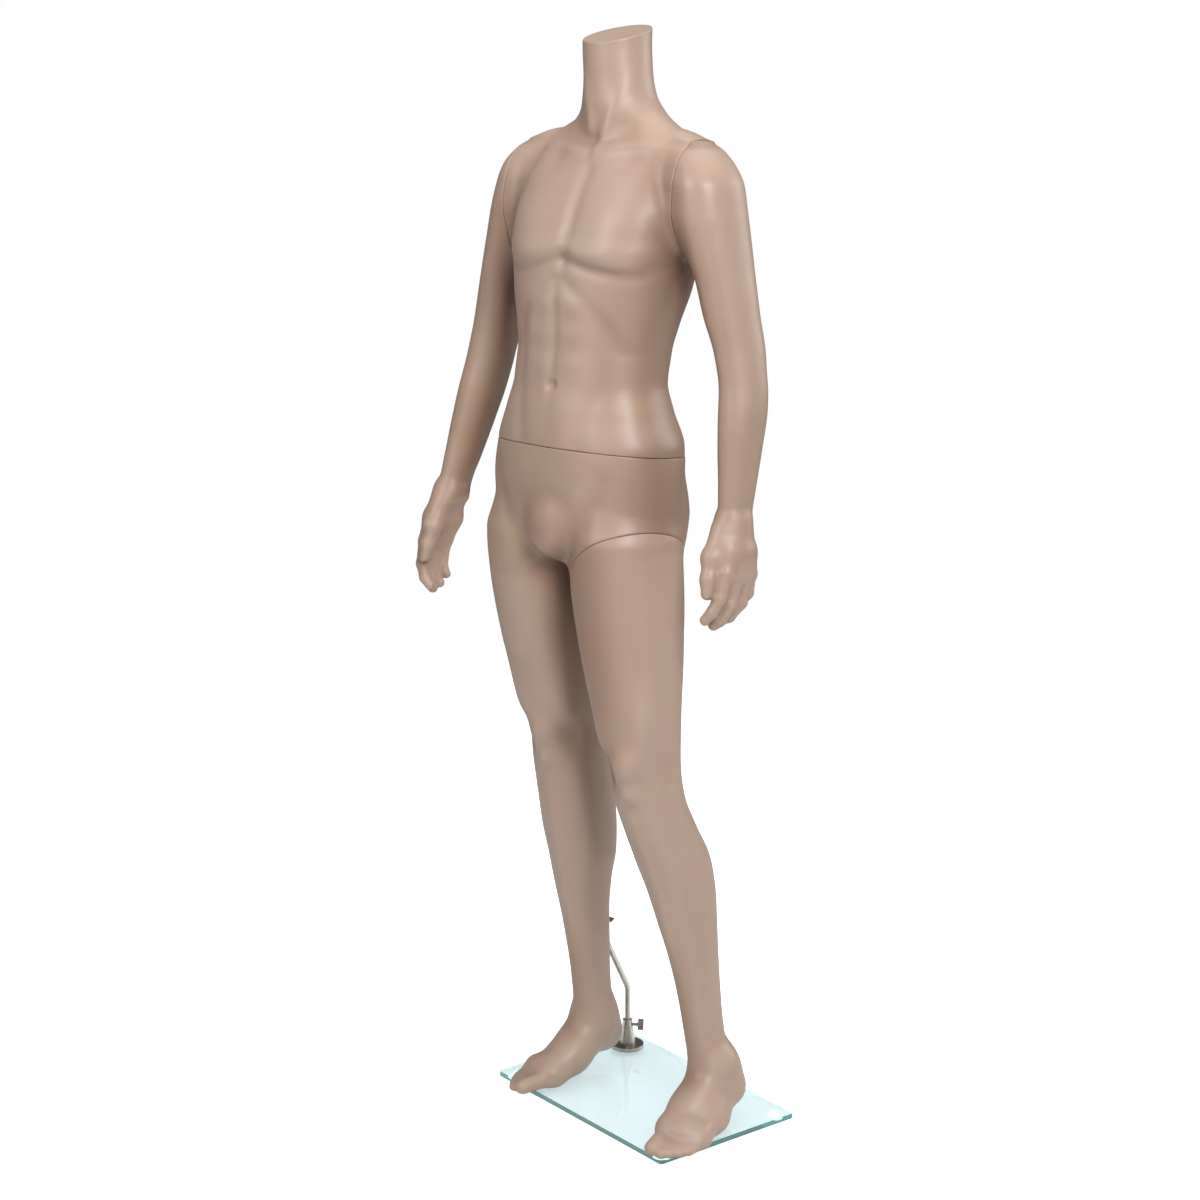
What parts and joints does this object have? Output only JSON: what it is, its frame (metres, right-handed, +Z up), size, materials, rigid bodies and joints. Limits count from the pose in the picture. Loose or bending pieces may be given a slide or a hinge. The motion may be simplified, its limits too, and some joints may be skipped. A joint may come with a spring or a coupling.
{
  "type": "display mannequin",
  "caption": "Headless standing display mannequin with take-apart torso, arms and leg, held by a calf rod on a glass base plate.",
  "frame": {"origin": "on the surface that the bumpers rest on, under the middle of the glass plate", "axes": "+Z up; the figure faces -Y and its left side is +X; the glass plate is turned 7 degrees under the figure"},
  "size_m": [0.5346, 0.3665, 1.6066],
  "materials": {
    "skin": "satin skin-tone moulded plastic",
    "glass": "clear tempered glass with polished green edges",
    "bumper": "clear soft bumper",
    "gasket": "thin rubber",
    "satin_metal": "satin nickel",
    "zinc_steel": "bright zinc",
    "screw_steel": "yellow zinc",
    "nylon": "natural nylon"
  },
  "bodies": {
    "base": {"glass_base": "glass", "base_bumpers": "bumper", "flange_gasket": "gasket", "bolt_washer": "zinc_steel", "flange_bolt": "zinc_steel"},
    "flange": {"base_flange": "satin_metal"},
    "flange_screw": {"flange_wing_screw": "satin_metal"},
    "rod": {"support_rod": "satin_metal"},
    "figure": {"pelvis_right_leg_shell": "skin", "waist_cup": "zinc_steel", "waist_cup_screws": "screw_steel", "calf_socket": "satin_metal", "thigh_slot_plate": "zinc_steel", "thigh_plate_screws": "screw_steel"},
    "calf_screw": {"calf_wing_screw": "satin_metal"},
    "torso": {"torso_shell": "skin", "waist_spigot": "zinc_steel", "waist_spigot_screws": "screw_steel", "waist_locating_pin": "zinc_steel", "left_shoulder_slot_plate": "zinc_steel", "left_shoulder_plate_screws": "screw_steel", "right_shoulder_slot_plate": "zinc_steel", "right_shoulder_plate_screws": "screw_steel"},
    "left_leg": {"left_leg_shell": "skin", "thigh_stud": "zinc_steel", "thigh_stud_screws": "screw_steel", "thigh_slot_bush": "nylon"},
    "left_bush": {"left_shoulder_slot_bush": "nylon"},
    "left_arm": {"left_arm_shell": "skin", "left_shoulder_stud": "zinc_steel", "left_shoulder_stud_screws": "screw_steel"},
    "right_bush": {"right_shoulder_slot_bush": "nylon"},
    "right_arm": {"right_arm_shell": "skin", "right_shoulder_stud": "zinc_steel", "right_shoulder_stud_screws": "screw_steel"}
  },
  "joints": [
    {"name": "base_swivel", "type": "hinge", "parent": "base", "child": "flange", "pos_m": [-0.138, 0.106, 0.012], "axis": [0, 0, 1], "range_deg": [-10, 10]},
    {"name": "flange_screw_turn", "type": "hinge", "parent": "flange", "child": "flange_screw", "pos_m": [-0.138, 0.106, 0.049], "axis": [0.769, 0.6392, 0], "continuous": true},
    {"name": "rod_height", "type": "slide", "parent": "flange", "child": "rod", "axis": [0, 0, 1], "range_m": [0, 0.03]},
    {"name": "figure_lift", "type": "slide", "parent": "rod", "child": "figure", "axis": [0, -0.4695, 0.8829], "range_m": [0, 0.075]},
    {"name": "calf_screw_turn", "type": "hinge", "parent": "figure", "child": "calf_screw", "pos_m": [-0.138, 0.04497, 0.22778], "axis": [0, 0.8829, 0.4695], "continuous": true},
    {"name": "torso_lift", "type": "slide", "parent": "figure", "child": "torso", "axis": [0, 0.1132, 0.9936], "range_m": [0, 0.06]},
    {"name": "thigh_unlock", "type": "slide", "parent": "figure", "child": "left_leg", "axis": [0.8181, 0, 0.575], "range_m": [0, 0.024]},
    {"name": "left_arm_lift", "type": "slide", "parent": "torso", "child": "left_bush", "axis": [0, 0, 1], "range_m": [0, 0.024]},
    {"name": "left_arm_swing", "type": "hinge", "parent": "left_bush", "child": "left_arm", "pos_m": [0.137, -0.044, 1.39], "axis": [-1, 0, 0], "range_deg": [-20, 90]},
    {"name": "right_arm_lift", "type": "slide", "parent": "torso", "child": "right_bush", "axis": [0, 0, 1], "range_m": [0, 0.024]},
    {"name": "right_arm_swing", "type": "hinge", "parent": "right_bush", "child": "right_arm", "pos_m": [-0.177, -0.06, 1.39], "axis": [-1, 0, 0], "range_deg": [-20, 90]}
  ]
}
